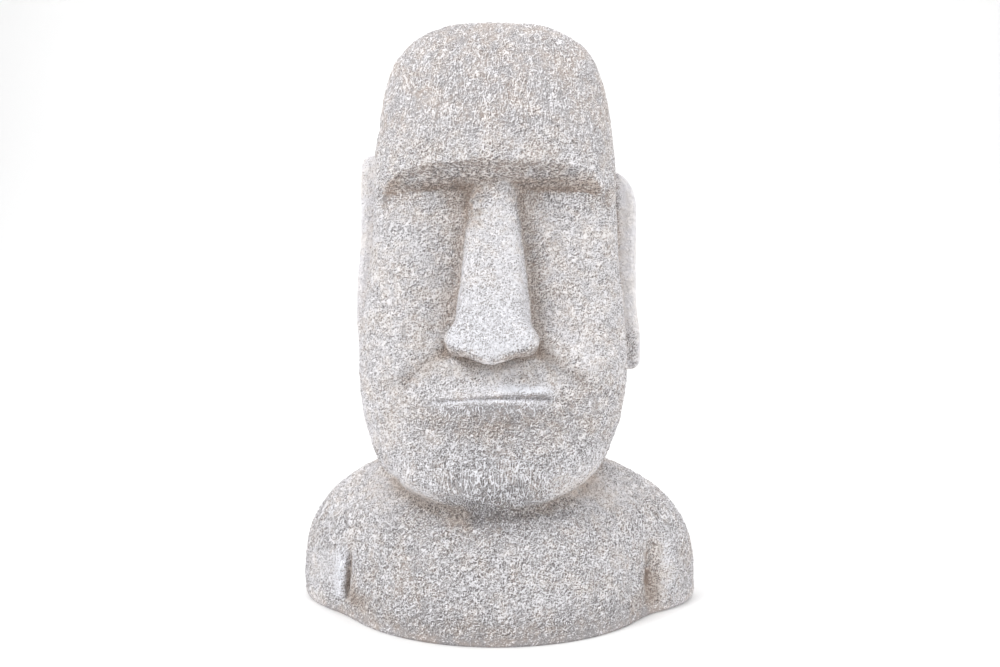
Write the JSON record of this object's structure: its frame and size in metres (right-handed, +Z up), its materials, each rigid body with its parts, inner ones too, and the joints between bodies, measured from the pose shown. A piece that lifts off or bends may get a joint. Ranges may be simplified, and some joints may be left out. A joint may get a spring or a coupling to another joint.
{
  "type": "moai stone head garden statue",
  "caption": "Cast garden statue: a long moai head with heavy brow, long nose, closed mouth and long ears on rounded shoulders, standing on a flat base.",
  "frame": {"origin": "on the flat underside, below the middle of the head", "axes": "+Z up, the face looks along -Y, +X is the viewer's right when facing it"},
  "size_m": [0.3911, 0.2409, 0.5555],
  "materials": {
    "cast_stone": "rough pitted cast stone with a dry-brushed off-white wash over a warm tan-grey body, matt"
  },
  "bodies": {
    "root": {"moai_bust": "cast_stone"}
  },
  "joints": []
}
